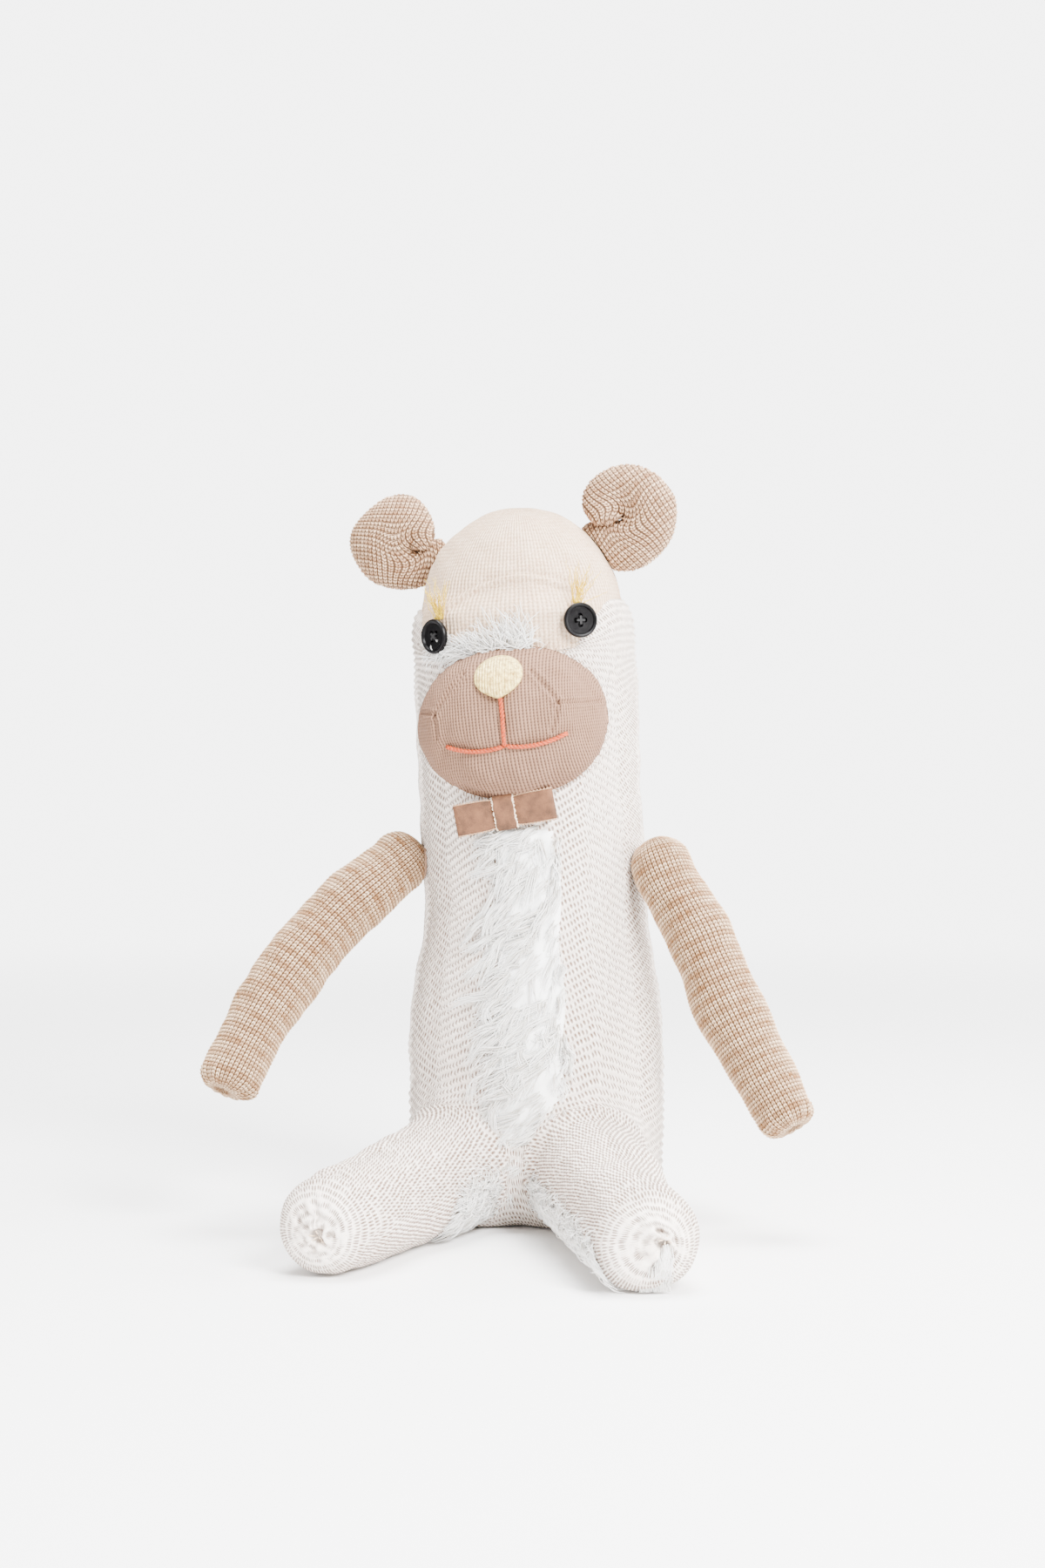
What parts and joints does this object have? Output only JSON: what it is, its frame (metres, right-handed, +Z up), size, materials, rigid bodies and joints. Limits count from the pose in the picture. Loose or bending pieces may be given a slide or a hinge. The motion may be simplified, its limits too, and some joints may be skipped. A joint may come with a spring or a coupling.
{
  "type": "stuffed monkey",
  "caption": "Seated sock-animal plush with a long knit body, coiled ears, heel-pocket muzzle, button eyes, ribbon bow, jointed soft limbs and white pile.",
  "frame": {"origin": "middle of the seat, on the surface the toy sits on", "axes": "+Z up, the toy faces -Y, and +X is the toy's left-hand side"},
  "size_m": [0.258, 0.2524, 0.3285],
  "materials": {
    "fibre_filling": "loose white polyester fibre",
    "cream_knit": "cream herringbone knit with small eyelets",
    "beige_stockinette": "fine pale beige stockinette",
    "marl_stockinette": "tan and cream marl stockinette with soft bands",
    "tan_fine_knit": "fine tan-pink sock knit",
    "white_pile": "long soft white pile",
    "gold_embroidery": "pale gold satin stitch with iridescent flecks",
    "gold_thread": "gold metallic thread",
    "coral_thread": "coral embroidery cotton",
    "button_plastic": "black, soft gloss",
    "black_thread": "black sewing thread",
    "tan_velvet": "dusty tan velvet with cream picot edges"
  },
  "bodies": {
    "torso": {"torso_skin": "cream_knit", "torso_stuffing": "fibre_filling", "chest_fur": "white_pile", "left_shoulder_stitches": "marl_stockinette", "right_shoulder_stitches": "marl_stockinette"},
    "head": {"head_skin": "cream_knit", "head_cap": "beige_stockinette", "cap_seam": "beige_stockinette", "head_stuffing": "fibre_filling", "muzzle_skin": "tan_fine_knit", "muzzle_stuffing": "fibre_filling", "muzzle_seam_thread": "tan_fine_knit", "nose_patch": "gold_embroidery", "philtrum_thread": "coral_thread", "left_smile_thread": "coral_thread", "right_smile_thread": "coral_thread", "forehead_fur": "white_pile", "left_lash_tuft": "gold_thread", "right_lash_tuft": "gold_thread"},
    "left_eye": {"left_eye_button": "button_plastic", "left_eye_thread": "black_thread"},
    "right_eye": {"right_eye_button": "button_plastic", "right_eye_thread": "black_thread"},
    "bow": {"bow_ribbon": "tan_velvet", "bow_band": "tan_velvet", "bow_stitch": "tan_velvet"},
    "left_ear": {"left_ear_skin": "marl_stockinette", "left_ear_stuffing": "fibre_filling", "left_ear_thread": "marl_stockinette"},
    "right_ear": {"right_ear_skin": "marl_stockinette", "right_ear_stuffing": "fibre_filling", "right_ear_thread": "marl_stockinette"},
    "left_shoulder": {"left_shoulder_wad": "fibre_filling"},
    "left_arm": {"left_arm_skin": "marl_stockinette", "left_arm_stuffing": "fibre_filling", "left_hand_gather": "marl_stockinette"},
    "right_shoulder": {"right_shoulder_wad": "fibre_filling"},
    "right_arm": {"right_arm_skin": "marl_stockinette", "right_arm_stuffing": "fibre_filling", "right_hand_gather": "marl_stockinette"},
    "left_leg": {"left_leg_skin": "cream_knit", "left_leg_stuffing": "fibre_filling", "left_toe_gather": "cream_knit", "left_leg_fur": "white_pile"},
    "right_leg": {"right_leg_skin": "cream_knit", "right_leg_stuffing": "fibre_filling", "right_toe_gather": "cream_knit", "right_leg_fur": "white_pile"}
  },
  "joints": [
    {"name": "neck_bend", "type": "hinge", "parent": "torso", "child": "head", "pos_m": [0, 0, 0.12], "axis": [1, 0, 0], "range_deg": [-8, 8], "stiffness_Nm_per_rad": 3},
    {"name": "left_shoulder_swing", "type": "hinge", "parent": "torso", "child": "left_shoulder", "pos_m": [-0.06008, -0.01723, 0.155], "axis": [-1, 0, 0], "range_deg": [-45, 60]},
    {"name": "left_shoulder_lift", "type": "hinge", "parent": "left_shoulder", "child": "left_arm", "pos_m": [-0.06008, -0.01723, 0.155], "axis": [0, 1, 0], "range_deg": [-22, 60]},
    {"name": "right_shoulder_swing", "type": "hinge", "parent": "torso", "child": "right_shoulder", "pos_m": [0.06008, -0.01723, 0.155], "axis": [-1, 0, 0], "range_deg": [-35, 75]},
    {"name": "right_shoulder_lift", "type": "hinge", "parent": "right_shoulder", "child": "right_arm", "pos_m": [0.06008, -0.01723, 0.155], "axis": [0, -1, 0], "range_deg": [-15, 65]},
    {"name": "left_hip", "type": "hinge", "parent": "torso", "child": "left_leg", "pos_m": [-0.0285, -0.044, 0.025], "axis": [-0.9724, 0.2334, 0], "range_deg": [-75, 25]},
    {"name": "right_hip", "type": "hinge", "parent": "torso", "child": "right_leg", "pos_m": [0.0285, -0.044, 0.025], "axis": [-0.9563, -0.2924, 0], "range_deg": [-75, 25]},
    {"name": "left_ear_flop", "type": "hinge", "parent": "head", "child": "left_ear", "pos_m": [-0.05366, 0.006, 0.29148], "axis": [-0.4653, 0, -0.8851], "range_deg": [-20, 20], "stiffness_Nm_per_rad": 0.05},
    {"name": "right_ear_flop", "type": "hinge", "parent": "head", "child": "right_ear", "pos_m": [0.03311, 0.006, 0.30312], "axis": [-0.6701, 0, 0.7423], "range_deg": [-20, 20], "stiffness_Nm_per_rad": 0.05},
    {"name": "left_eye_tilt", "type": "hinge", "parent": "head", "child": "left_eye", "pos_m": [-0.03462, -0.03985, 0.25365], "axis": [-0.0489, 0, 0.9988], "range_deg": [-12, 12], "stiffness_Nm_per_rad": 0.004},
    {"name": "right_eye_tilt", "type": "hinge", "parent": "head", "child": "right_eye", "pos_m": [0.02351, -0.03961, 0.26027], "axis": [-0.0489, 0, 0.9988], "range_deg": [-6, 14], "stiffness_Nm_per_rad": 0.004},
    {"name": "bow_twist", "type": "hinge", "parent": "head", "child": "bow", "pos_m": [-0.00169, -0.0495, 0.17446], "axis": [0, 1, 0], "range_deg": [-2, 15], "stiffness_Nm_per_rad": 0.01}
  ]
}
